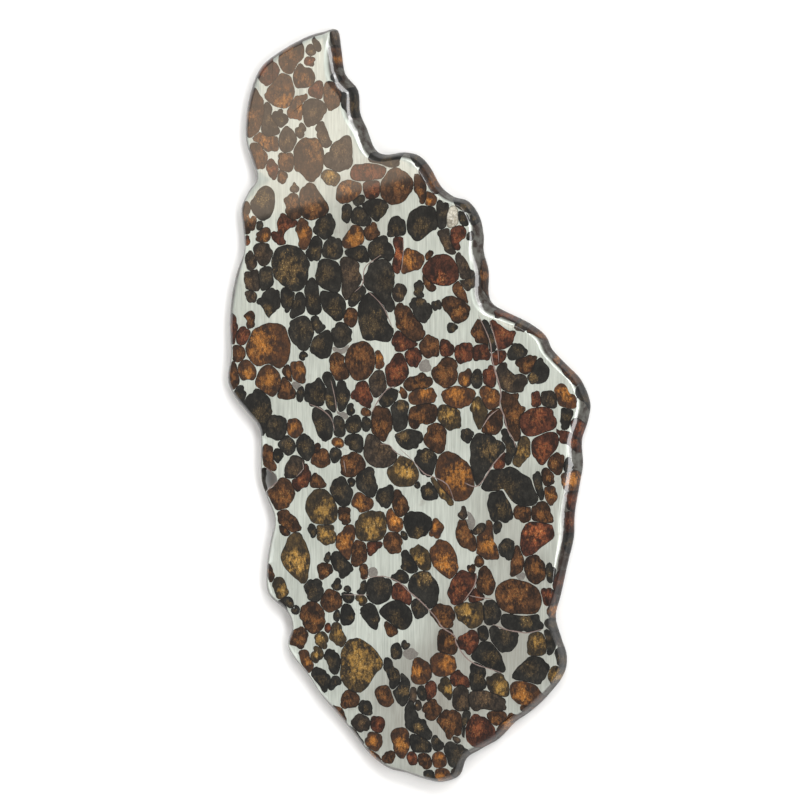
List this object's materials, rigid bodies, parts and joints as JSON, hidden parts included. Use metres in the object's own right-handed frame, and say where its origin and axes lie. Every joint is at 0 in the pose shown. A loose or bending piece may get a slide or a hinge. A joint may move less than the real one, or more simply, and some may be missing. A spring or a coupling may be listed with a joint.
{
  "type": "pallasite meteorite slice",
  "caption": "Thin irregular slab of nickel-iron set with rounded olivine crystals, one face polished flat, its edge a rounded natural skin",
  "frame": {"origin": "middle of the slice's extents, on the plane of its sawn back", "axes": "+Y runs along the length to the narrow tip, +Z is out of the polished face, +X is to the right when the polished face is seen with the tip up"},
  "size_m": [0.0944, 0.1886, 0.0045],
  "materials": {
    "nickel_iron": "nickel-iron, ground flat and lacquered, fine grinding streaks",
    "ink": "deep green-black crystal, polished under a clear coat",
    "smoke": "smoky grey-brown crystal, polished under a clear coat",
    "umber": "dark brown crystal, polished under a clear coat",
    "rust": "red-brown iron-stained crystal, polished under a clear coat",
    "amber": "orange crystal that light passes into, polished",
    "gold": "yellow-olive crystal that light passes into, polished"
  },
  "bodies": {
    "root": {"metal_matrix": "nickel_iron", "olivine_01": "ink", "olivine_02": "ink", "olivine_03": "ink", "olivine_04": "ink", "olivine_05": "ink", "olivine_06": "ink", "olivine_07": "ink", "olivine_08": "ink", "olivine_09": "ink", "olivine_10": "ink", "olivine_11": "ink", "olivine_12": "ink", "olivine_13": "ink", "olivine_14": "ink", "olivine_15": "ink", "olivine_16": "ink", "olivine_17": "ink", "olivine_18": "ink", "olivine_19": "smoke", "olivine_20": "smoke", "olivine_21": "smoke", "olivine_22": "smoke", "olivine_23": "umber", "olivine_24": "umber", "olivine_25": "umber", "olivine_26": "umber", "olivine_27": "umber", "olivine_28": "umber", "olivine_29": "umber", "olivine_30": "umber", "olivine_31": "umber", "olivine_32": "umber", "olivine_33": "umber", "olivine_34": "umber", "olivine_35": "umber", "olivine_36": "umber", "olivine_37": "umber", "olivine_38": "rust", "olivine_39": "rust", "olivine_40": "rust", "olivine_41": "rust", "olivine_42": "rust", "olivine_43": "rust", "olivine_44": "rust", "olivine_45": "amber", "olivine_46": "amber", "olivine_47": "amber", "olivine_48": "amber", "olivine_49": "amber", "olivine_50": "amber", "olivine_51": "amber", "olivine_52": "amber", "olivine_53": "amber", "olivine_54": "amber", "olivine_55": "gold", "olivine_56": "gold", "olivine_57": "gold", "olivine_58": "gold", "olivine_59": "gold"}
  },
  "joints": []
}
